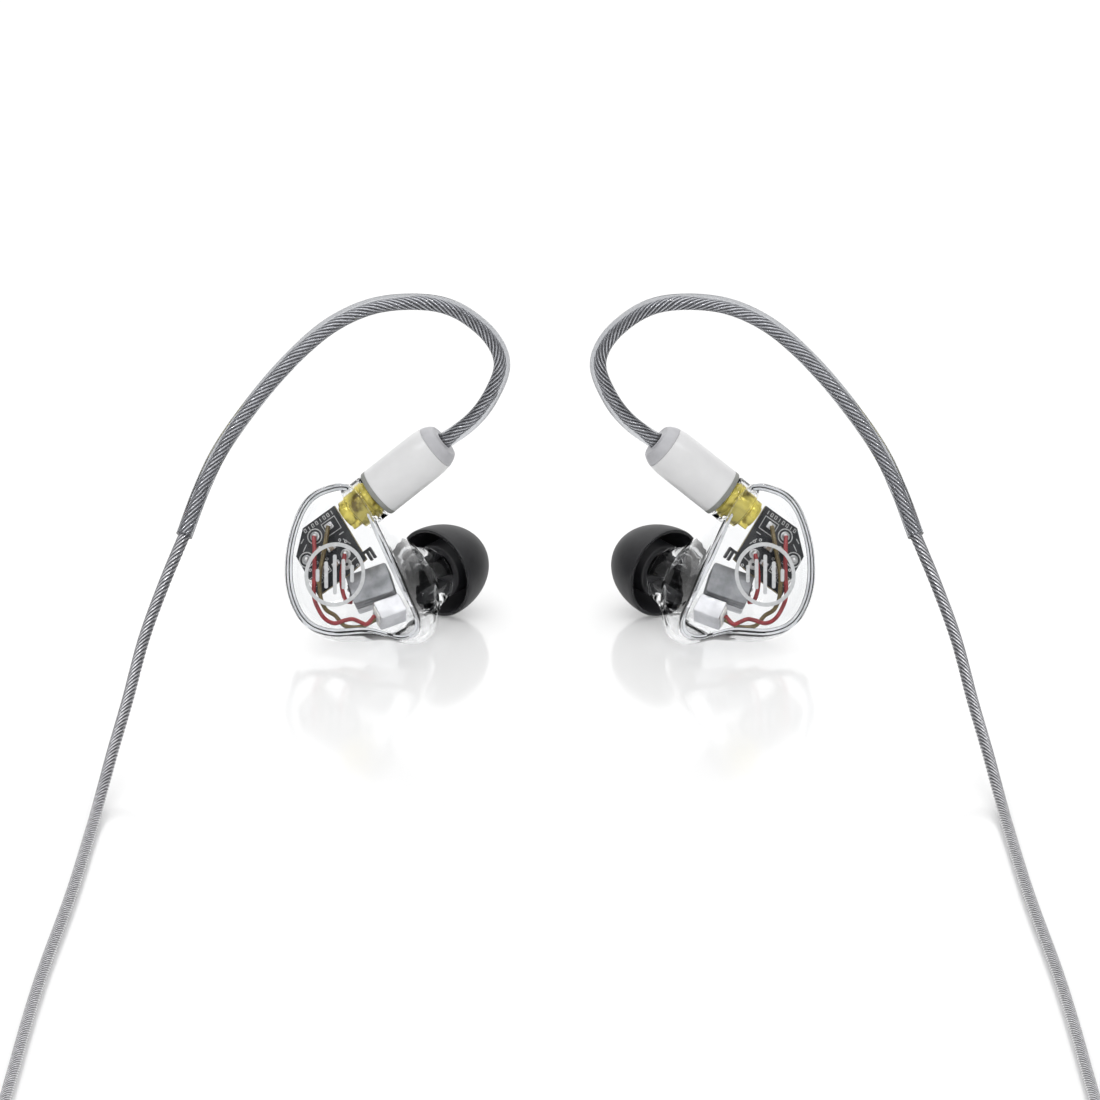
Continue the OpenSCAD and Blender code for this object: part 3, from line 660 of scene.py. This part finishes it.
def cup():
    """Cup with solid resin where it narrows into the nozzle."""
    sections = [cup_section(k / CUP_SECTIONS) for k in range(CUP_SECTIONS + 1)]
    rim = sections[0]
    rings = [shrunk(rim, EASE), rim - (0, 0, EASE)] + sections[1:CUP_SECTIONS]
    rings += [neck_ring(r, t) for r, t in (
        (NECK_R, -0.05), (3.8, 0.2), (3.5, 0.45), (3.1, 0.7), (2.8, 1.0), (2.65, 1.35),
        (NOZZLE_R, 1.8), (NOZZLE_R, NOZZLE_LEN - 0.2), (NOZZLE_R - 0.1, NOZZLE_LEN - 0.04),
        (NOZZLE_R - 0.25, NOZZLE_LEN), (NOZZLE_BORE + 0.1, NOZZLE_LEN),
        (NOZZLE_BORE + 0.02, NOZZLE_LEN - 0.06), (NOZZLE_BORE, NOZZLE_LEN - 0.2),
        (NOZZLE_BORE, 0.4), (NOZZLE_BORE, -1.6), (NOZZLE_BORE + 0.2, -1.9))]
    rings += [shrunk(sections[k], WALL) for k in range(SOLID_FROM, 0, -1)]
    rings += [shrunk(rim, WALL) - (0, 0, EASE), shrunk(rim, WALL - EASE)]
    rings += [shrunk(rim, by) for by in BOND_GAP[::-1]]
    return loft(rings, wrap=True)


def boss():
    """Rod round the socket, cut off where the faceplate stands."""
    rod = lathe([(BOSS_R - 0.1, -BOSS_DEPTH), (BOSS_R, -BOSS_DEPTH + 0.1), (BOSS_R, -0.55),
                 (BOSS_R - 0.06, -0.38), (BOSS_R - 0.22, -BOSS_GAP)], BOOT_FACE, BOOT_AXIS, 72)
    prism = loft([at_height(RIM, -PLATE), at_height(RIM, 5)])
    return cut(rod, prism, "DIFFERENCE")


def socket_hole():
    """Cast round the socket, so its wall stays just under the socket's skin."""
    return lathe([(SOCKET_HOLE_R, -BOSS_DEPTH - 4), (SOCKET_HOLE_R, 1)], BOOT_FACE, BOOT_AXIS, 64)


def shell_marks(points, faces):
    """1 for the rim's bonded top beside the boss, where grey is painted as shade, 2 for the skin of
    the boss, 0 for the rest.
    """
    off_boot = points - BOOT_FACE
    along = off_boot @ BOOT_AXIS
    off_axis = np.linalg.norm(off_boot - np.outer(along, BOOT_AXIS), axis=1)
    hair = 0.01
    on_boss = (off_axis > BOSS_R - 0.3) & (off_axis < BOSS_R + hair) & (along > -BOSS_DEPTH - hair)
    beside_boss = (abs(off_boot @ BOOT_SIDE) > BOSS_R - 1.2) | (along < -BOSS_DEPTH - 0.5)
    rim_top = (points[:, 2] > -PLATE - hair) & beside_boss
    from_edge = np.linalg.norm(points[:, None, :2] - RIM, axis=2).min(1)
    in_gap = (from_edge > BOND_GAP[0] - 0.1) & (from_edge < BOND_GAP[1] + 0.04)
    marks = []
    for face in faces:
        bonded = all(rim_top[face]) and not all(in_gap[face])
        marks.append(1 if bonded else 2 if all(on_boss[face]) else 0)
    return marks


shell = cut(cut(cup(), boss(), "UNION"), socket_hole(), "DIFFERENCE")
shell.marks = shell_marks(shell.points, shell.faces)
both("shell_clear", shell, [ACRYLIC, BOND_SHADE, WINDOW], "earpiece", ["shell"],
     sharp=40)

plate_edge = [(0.05, 0.02), (0, 0.07), (0, PLATE - 0.12), (0.03, PLATE - 0.05),
              (0.12, PLATE - 0.005), (0.2, PLATE)]
plate = loft([at_height(RIM - by * WAY, z - PLATE) for by, z in plate_edge])
both("faceplate_clear", plate, [WINDOW], "earpiece", ["faceplate"], sharp=40)

INK = 0.04
emblem = lathe(softened([(3.55, 0), (3.55, INK), (4.05, INK), (4.05, 0)], 0.02), np.zeros(3),
               Z_AXIS, 128, wrap=True)
for k, tall in enumerate((1.6, 3.4, 5, 3.8, 2.2)):
    emblem.join(slab(rounded_rect(0.5, tall, 0.2), 0, INK, 0.015)
                .put(shift=((k - 2) * 1.15, 0, 0)))
both("emblem", emblem, [PRINT], "earpiece", ["emblem_ring"])


# ---- board ----
def stroke(a, b, width=0.1):
    a, b = np.asarray(a, float), np.asarray(b, float)
    angle = math.degrees(math.atan2(*(b - a)[::-1]))
    return slab(rounded_rect(np.linalg.norm(b - a) + width, width, width / 2.2, 2), 0, 0.025,
                0.008).put((0, 0, angle), (*(a + b) / 2, BOARD_FRONT))


def frame_line(centre, w, h, turn, width=0.1):
    c = [placed((x * w / 2, y * h / 2, 0), (0, 0, turn))[:2] + centre
         for x, y in ((-1, -1), (1, -1), (1, 1), (-1, 1))]
    out = Form()
    for k in range(4):
        out.join(stroke(c[k], c[(k + 1) % 4], width))
    return out


def on_board(x, y):
    return np.array([x, y, BOARD_FRONT])


board = slab(BOARD, BOARD_Z, BOARD_FRONT, 0.03)
board.join(slab(inset(BOARD, -0.005), BOARD_Z + 0.08, BOARD_FRONT - 0.08, 0.01), 2)

# Printed rings and outlines round the pads, and plain strokes
for (x, y), r in zip(ROUND_PADS, ROUND_RINGS):
    board.join(lathe(softened([(r - 0.09, 0), (r - 0.09, 0.02), (r + 0.05, 0.02), (r + 0.05, 0)],
                              0.008), on_board(x, y), Z_AXIS, 40, wrap=True), 1)
board.join(frame_line((-1.32, 6.39), 2.03, 1.78, 31.7), 1)
board.join(frame_line(SQUARE_PADS[1], 1.3, 1.3, 33), 1)
board.join(frame_line((-3.4, -0.4), 1.9, 1.3, 32, 0.08), 1)
for a, b in (((-4.6, 4.2), (-5.0, 3.4)), ((0.3, 4.7), (1.2, 4.1)), ((-0.2, 5.3), (0.3, 5.6)),
             ((1.9, 2.3), (1.1, 1.6)), ((-0.3, 4.3), (0.2, 3.7)), ((-5.3, 4.4), (-5.0, 4.9))):
    board.join(stroke(a, b, 0.12), 1)

# A row of plain marks along the upper edge
for k in range(8):
    x, y = -4.75 + 0.5 * k, 5.95 + 0.31 * k
    if k % 3 == 1:
        board.join(stroke((x - 0.1, y + 0.17), (x + 0.13, y - 0.2)), 1)
    else:
        board.join(frame_line((x, y), 0.26, 0.42, 31.7, 0.09), 1)

# Mounting ring, plated holes and the comb that stands out from the edge
board.join(lathe(softened([(0.2, 0), (0.2, 0.03), (0.68, 0.03), (0.68, 0)], 0.01),
                 on_board(0.75, 1.49), Z_AXIS, 40, wrap=True), 1)
for x, y in ((-2.5, 3.0), (-1.9, 2.3), (-0.2, 4.6), (-4.1, 1.0), (-3.2, 1.9), (1.5, 0.98),
             (2.2, 1.34), (0.6, 4.4)):
    board.join(lathe([(0.2, 0), (0.2, 0.02), (0.09, 0.02), (0.09, 0.0)], on_board(x, y), Z_AXIS,
                     16, wrap=True), 3)
comb = slab([(-0.55, -0.5), (-0.3, -0.5), (-0.3, 0.8), (-0.55, 0.8)], 0, BOARD_T, 0.02)
for y in (0, 0.53):
    comb.join(slab([(-0.55, y), (0.95, y), (0.95, y + 0.32), (-0.55, y + 0.32)], 0, BOARD_T, 0.02))
board.join(comb.put((0, 0, -58), (3.35, 2.65, BOARD_Z)))
both("board", board, [MASK, SILK, BARE, SOLDER], "earpiece", ["circuit_board"])

pads = Form()
for x, y in ROUND_PADS:
    pads.join(lathe([(0.6, 0), (0.6, 0.03), (0.56, 0.05), (0.46, 0.08), (0.4, 0.16),
                     (0.34, 0.3), (0.24, 0.41), (0.1, 0.45)], on_board(x, y), Z_AXIS, 32))
for x, y in SQUARE_PADS:
    pads.join(slab(rounded_rect(1.05, 0.9, 0.1), 0, 0.06, 0.02).put((0, 0, 33), on_board(x, y)))
    pads.join(lathe([(0.34, 0.05), (0.3, 0.14), (0.2, 0.22), (0.06, 0.25)], on_board(x, y),
                    Z_AXIS, 24))
both("solder", pads, [SOLDER], "earpiece", ["solder_pads"])

chips = Form()
for x, y, w, h, t in ((-1.2, 3.6, 1.1, 0.6, 0.4), (-3, 3.4, 1.1, 0.6, 0.4),
                      (-0.6, 1.6, 1.1, 0.6, 0.4), (-3.4, -0.4, 1.4, 0.9, 0.35)):
    chip = slab(rounded_rect(0.56 * w, h - 0.02, 0.04, 2), 0.01, t - 0.02, 0.02)
    for end in (-1, 1):
        chip.join(slab(rounded_rect(0.24 * w, h, 0.05, 2), 0, t, 0.04, 1)
                  .put(shift=(end * 0.38 * w, 0, 0)))
    chips.join(chip.put((0, 0, 32), on_board(x, y)))
both("chips", chips, [CERAMIC, SOLDER], "earpiece", ["crossover_parts"])

# ---- socket ----
SOCKET_SKIN = SOCKET_R - 0.05
barrel = lathe(softened([(0.42, -4.8), (1.5, -4.8), (1.5, -4.45), (SOCKET_SKIN, -4.45),
                         (SOCKET_SKIN, -3.55), (1.75, -3.55), (1.75, -3.3), (SOCKET_SKIN, -3.3),
                         (SOCKET_SKIN, -1.3), (1.8, -1.3), (1.8, -1.1), (SOCKET_SKIN, -1.1),
                         (SOCKET_SKIN, -0.6), (SOCKET_BORE, -0.6), (SOCKET_BORE, -4.2),
                         (0.42, -4.2)], 0.05), BOOT_FACE, BOOT_AXIS, 64, wrap=True)
lug = slab(rounded_rect(1.1, 0.6, 0.06), -0.15, 0.15, 0.03)
barrel.join(lug.put((0, 0, 35), BOOT_FACE - 4.0 * BOOT_AXIS - 1.95 * BOOT_SIDE + (0, 0, 0.9)))
both("socket", barrel, [GOLD], "earpiece", ["socket_barrel"])


# ---- drivers ----
def can(w, h, t, seam, radius=0.35):
    """Drawn can in two halves that meet at a seam."""
    out = slab(rounded_rect(w, h, radius, 5), -t, -seam - 0.03, 0.12)
    out.join(slab(rounded_rect(w - 0.08, h - 0.08, radius, 5), -seam - 0.06, -seam + 0.06, 0.01))
    out.join(slab(rounded_rect(w, h, radius, 5), -seam + 0.03, 0, 0.14))
    return out


def terminals(w, t):
    """Terminal board on the end of a can, with two solder joints."""
    out = slab(rounded_rect(0.12, 1.7, 0.04, 2), -t + 0.15, -0.15, 0.03, 1)
    for y in (-0.45, 0.45):
        out.join(lathe([(0.3, 0), (0.3, 0.06), (0.22, 0.16), (0.1, 0.22)],
                       np.array([-0.05, y, -t / 2]), np.array([-1.0, 0, 0]), 20, mark=2))
    return out.put(shift=(-w / 2 - 0.05, 0, 0))


# The woofer is a pair of cans back to back with a dark seam, the rear one brighter.
woofer = can(WOOFER_W, WOOFER_H, 1.55, 0.75).join(terminals(WOOFER_W, 1.55))
woofer.join(can(WOOFER_W, WOOFER_H, 1.5, 0.7).put(shift=(0, 0, -1.65)), 3)
woofer.join(slab(rounded_rect(WOOFER_W - 0.1, WOOFER_H - 0.1, 0.3, 5), -1.72, -1.48, 0.01, 1))
woofer.put((-14, 14, 19), (3.43, -0.88, -3.5))
both("woofer_cans", woofer, [CAN_GREY, MASK, SOLDER, CAN_SILVER], "earpiece",
     ["woofer"])
middle = can(MID_W, 2.7, MID_T, 1.2, 0.25).join(terminals(MID_W, MID_T))
middle.put((-16, 31, 24), (6.2, -3.9, -3.3))
both("midrange_can", middle, [CAN_SILVER, PTFE, SOLDER], "earpiece",
     ["midrange_driver"])
small = can(TWEETER_W, 2, TWEETER_T, 0.6, 0.25).join(terminals(TWEETER_W, TWEETER_T))
small.put((-14, 14, 19), (2.2, -0.2, -8.2))
both("tweeter_can", small, [CAN_SILVER, MASK, SOLDER], "earpiece", ["tweeter"])

# ---- wires ----
red = tube(smooth_route([(-3.5, 5.2, -2.3), (-3.3, 3.4, -1.9), (-3.3, 0.6, -1.9),
                         (-3.4, -2.3, -1.9), (-3, -3.9, -2.3), (-2.2, -5.2, -2.6),
                         (-1, -5.8, -2.8), (0.3, -5.45, -3.1), (1.3, -5.35, -3.2),
                         (2.5, -5.85, -3), (3.2, -6.1, -2.9), (3.75, -5.6, -3.1),
                         (4.1, -5.05, -3.4)], 0.15), WIRE_R, 14)
red.join(tube(smooth_route([(0.6, 2.8, -2.3), (0.2, 0.4, -2.2), (0.1, -1.5, -2.6),
                            (0.3, -2.9, -3.4), (0.85, -3.1, -4.05)], 0.15), WIRE_R, 14))
both("red_wire", red, [RED], "earpiece", ["wire_red"])
green = tube(smooth_route([(-1.6, 6.4, -2.3), (-2, 3.4, -1.9), (-2.6, 0.2, -1.9),
                           (-2.6, -2.4, -2.1), (-2.1, -4, -2.6), (-1, -4.8, -3),
                           (-0.3, -5.7, -3.3), (0.4, -6.2, -3), (1.5, -6.4, -2.9),
                           (2.6, -6.3, -3.2), (3.4, -5.95, -3.3), (4.3, -5.5, -3.35)], 0.15),
             WIRE_R, 14)
both("green_wire", green, [GREEN], "earpiece", ["wire_green"])

# ---- ear tip ----
outer_end = math.acos((NOZZLE_BORE + 0.5) / TIP_R)
inner_end = math.acos((STEM_R + 0.3) / (TIP_R - TIP_SKIN))
dome = [(TIP_R * math.cos(a), TIP_H * math.sin(a)) for a in np.linspace(0.02, outer_end, 28)]
hollow = [((TIP_R - TIP_SKIN) * math.cos(a), (TIP_H - 1.4) * math.sin(a))
          for a in np.linspace(inner_end, 0.02, 16)]
crown = TIP_H * math.sin(outer_end)
stem_top = hollow[0][1] + 0.3
section = dome + [(NOZZLE_BORE + 0.35, crown + 0.08), (NOZZLE_BORE + 0.12, crown + 0.02),
                  (NOZZLE_BORE, crown - 0.2), (NOZZLE_BORE, 4.95), (NOZZLE_BORE + 0.08, 4.9),
                  (2.6, 4.9), (2.65, 4.8), (2.65, 0.55), (2.72, 0.42), (2.85, 0.4), (3.3, 0.4),
                  (3.44, 0.46), (STEM_R, 0.6), (STEM_R, stem_top - 0.6),
                  (STEM_R + 0.06, stem_top - 0.25)] + hollow
section += [(TIP_R - TIP_SKIN * 0.85, -0.1), (TIP_R - TIP_SKIN * 0.5, -0.15),
            (TIP_R - TIP_SKIN * 0.15, -0.1)]
ear_tip = lathe(section, TIP_CENTRE, TIP_AXIS, 112, wrap=True)
both("ear_tip_dome", ear_tip, [SILICONE], "tip", ["ear_tip"], sharp=50)

# ---- boot ----
lip = [(1.3, 3.2), (1.3, 0.04), (1.4, 0), (BOOT_R - 0.25, 0), (BOOT_R - 0.1, 0.04),
       (BOOT_R - 0.02, 0.14), (BOOT_R, 0.3), (BOOT_R, 0.62), (BOOT_R - 0.05, 0.65)]
moulding = [(BOOT_R - 0.05, 0.65), (BOOT_R - 0.01, 0.7), (BOOT_R, 0.85), (BOOT_R, 3),
            (BOOT_R, 6.5), (BOOT_R - 0.01, 7.8), (BOOT_R - 0.05, 8.6), (BOOT_R - 0.12, 9.1),
            (BOOT_R - 0.18, BOOT_LEN - 0.02), (BOOT_R - 0.24, BOOT_LEN), (1.2, BOOT_LEN),
            (1.2, 3.2), (1.3, 3.2)]
OPEN = (False, False)
boot = lathe(lip, BOOT_FACE, BOOT_AXIS, 96, mark=1, caps=OPEN)
boot.join(lathe(moulding, BOOT_FACE, BOOT_AXIS, 96, caps=OPEN))
both("boot_shell", boot, [BOOT_WHITE, BOOT_RIM], "cable", ["boot"])
cap = lathe(softened([(1.12, BOOT_LEN + 0.01), (BOOT_R - 0.2, BOOT_LEN + 0.01),
                      (BOOT_R - 0.34, BOOT_LEN + 0.5), (BOOT_R - 0.62, BOOT_LEN + 1.05),
                      (BOOT_R - 0.95, BOOT_LEN + 1.45), (BOOT_R - 1.3, BOOT_LEN + COLLAR_LEN),
                      (1.2, BOOT_LEN + COLLAR_LEN), (1.12, BOOT_LEN + 1.5)], 0.12),
            BOOT_FACE, BOOT_AXIS, 96, wrap=True)
both("collar", cap, [COLLAR], "cable", ["boot_collar"])


# ---- splitter, slider, tie and plug ----
def stadium(half, r):
    """Two half circles joined by straight sides."""
    steps = 14
    out = []
    for x, first in ((half, -90), (-half, 90)):
        out += [(x + r * math.cos(math.radians(first + 180 * k / steps)),
                 r * math.sin(math.radians(first + 180 * k / steps)))
                for k in range(steps + 1)]
    return np.array(out)


def along_y(stations):
    """Skin over stadium sections: half width, radius, Y."""
    rings = []
    for half, r, y in stations:
        flat = stadium(half, r)
        rings.append(np.column_stack([flat[:, 0], np.full(len(flat), y), flat[:, 1] + PAIR_Z]))
    return loft(rings)


low, high = SPLIT_Y
split_stations = [(PAIR_X, 1.3, high), (PAIR_X, 1.65, high - 0.08), (PAIR_X, 1.85, high - 0.35),
                  (PAIR_X, 1.9, high - 0.8), (PAIR_X, 1.9, high - 4.6), (1.5, 1.88, high - 6),
                  (1.0, 1.82, high - 8), (0.55, 1.74, high - 9.6)]
for k in range(5):
    y = high - 10.1 - 0.75 * k
    r = 1.7 - 0.04 * k
    wide = 0.4 - 0.08 * k
    split_stations += [(wide, r, y), (wide, r, y - 0.35), (wide, r - 0.22, y - 0.42),
                       (wide, r - 0.22, y - 0.68)]
split_stations += [(0.02, 1.3, low + 0.06), (0.02, 1.15, low)]
splitter = make("splitter", along_y(split_stations), [SPLIT], "cable", ["y_split"])
low, high = SLIDER_Y
thick = PAIR_Z - 0.01
slider_form = along_y([(PAIR_X, 1.5, high), (PAIR_X, 2.05, high - 0.08), (PAIR_X, 2.32, high - 0.35),
                       (PAIR_X, thick, high - 0.8), (PAIR_X, thick, high - 3),
                       (PAIR_X, thick - 0.19, high - 3.2), (PAIR_X, thick - 0.19, high - 4.8),
                       (PAIR_X, thick, high - 5), (PAIR_X, thick, low + 0.8),
                       (PAIR_X, 2.32, low + 0.35), (PAIR_X, 2.05, low + 0.08), (PAIR_X, 1.5, low)])
slider = make("slider", slider_form, [SPLIT], "slider", ["chin_slider"])


def tie_form():
    """Band wrapped round the coil's section, thinner at its two edges."""
    rings = []
    for degrees in np.linspace(-14, 14, 15):
        edge = 0.12 if abs(degrees) > 13 else 0.0
        a = math.radians(degrees)
        for grow in (0.55 - edge, 0.08 + edge):
            flat = np.array(rounded_rect(6 + 2 * grow, 8 + 2 * grow, 1 + grow, 6))
            r = COIL_MIDDLE_R + flat[:, 0]
            rings.append(np.column_stack([COIL_X + r * math.cos(a), COIL_Y + r * math.sin(a),
                                          COIL_MIDDLE_Z + flat[:, 1]]))
    # Outer rings forwards and inner rings backwards make one closed skin.
    return loft(rings[::2] + rings[1::2][::-1], wrap=True)


tie = make("tie", tie_form(), [TIE], "cable", ["cord_tie"])

JACK = np.array([0, JACK_Y, JACK_Z])
grip = [(1.3, JACK_X), (2.7, JACK_X), (2.95, JACK_X + 0.15), (3.4, JACK_X + 0.75),
        (GRIP_R, JACK_X + 1.3)]
for k in range(9):
    x = JACK_X + 3 + k * 0.9
    grip += [(GRIP_R, x), (3.4, x + 0.12), (3.4, x + 0.3), (GRIP_R, x + 0.42)]
grip += [(GRIP_R, CONTACT_X - 0.6), (3.5, CONTACT_X - 0.3), (3.2, CONTACT_X - 0.05),
         (3.0, CONTACT_X), (1.8, CONTACT_X)]
sleeve_grip = make("plug_grip", lathe(grip, JACK, X_AXIS, 72), [JACK_GREY], "cable",
                   ["jack_barrel"])
relief = [(1.12, RELIEF_X)]
for k in range(8):
    x, r = RELIEF_X + 0.1 + k * 1.23, 1.35 + 0.155 * k
    relief += [(r, x), (r + 0.03, x + 0.55), (r - 0.2, x + 0.7), (r - 0.2, x + 1.05)]
relief += [(2.5, RELIEF_X + 9.98)]
boot_relief = make("plug_relief", lathe(relief, JACK, X_AXIS, 48), [TIE], "cable",
                   ["jack_strain_relief"])
contact = lathe(softened([(1.1, CONTACT_X - 0.4), (PLUG_R, CONTACT_X - 0.4),
                          (PLUG_R, CONTACT_X + 6.4), (1.1, CONTACT_X + 6.4)], 0.08), JACK, X_AXIS,
                48, wrap=True)
sleeve_contact = make("plug_sleeve", contact, [BRIGHT_GOLD], "cable",
                      ["jack_sleeve_contact"])
band, point = CONTACT_X + 7.0, CONTACT_X + 10.2
ends = lathe(softened([(1.1, band), (PLUG_R, band), (PLUG_R, band + 2.6), (1.1, band + 2.6)],
                      0.08), JACK, X_AXIS, 48, wrap=True)
ends.join(lathe([(1.0, point), (1.68, point), (PLUG_R, point + 0.1), (1.74, point + 0.5),
                 (1.45, point + 0.9), (1.18, point + 1.3), (1.3, point + 1.6),
                 (1.56, point + 2.0), (1.6, point + 2.25), (1.5, point + 2.6),
                 (1.05, point + 3.25), (0.55, point + 3.65), (0.2, point + 3.78),
                 (0.05, point + 3.8)], JACK, X_AXIS, 48))
tip_contacts = make("plug_tip", ends, [BRIGHT_GOLD], "cable",
                    ["jack_tip_contacts"])

# ---- CAD pieces that stay ----
KEPT = {"socket_insulator": PTFE, "socket_contact": BRIGHT_GOLD, "sound_tubes": SOFT_TUBE,
        "dampers": DAMPER, "nozzle_screen": STEEL, "plug_barrel": GOLD, "plug_pin": BRIGHT_GOLD,
        "snap_ring": BRIGHT_GOLD}


def finish_cad(node, mat):
    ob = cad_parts[node]
    if not ob.data.materials:
        ob.data.materials.append(mat)
    for place in ob.material_slots:
        place.material = mat


for side in ("left", "right"):
    for node, mat in KEPT.items():
        finish_cad(f"{side}_{node}", mat)
finish_cad("jack_insulators", TIE)
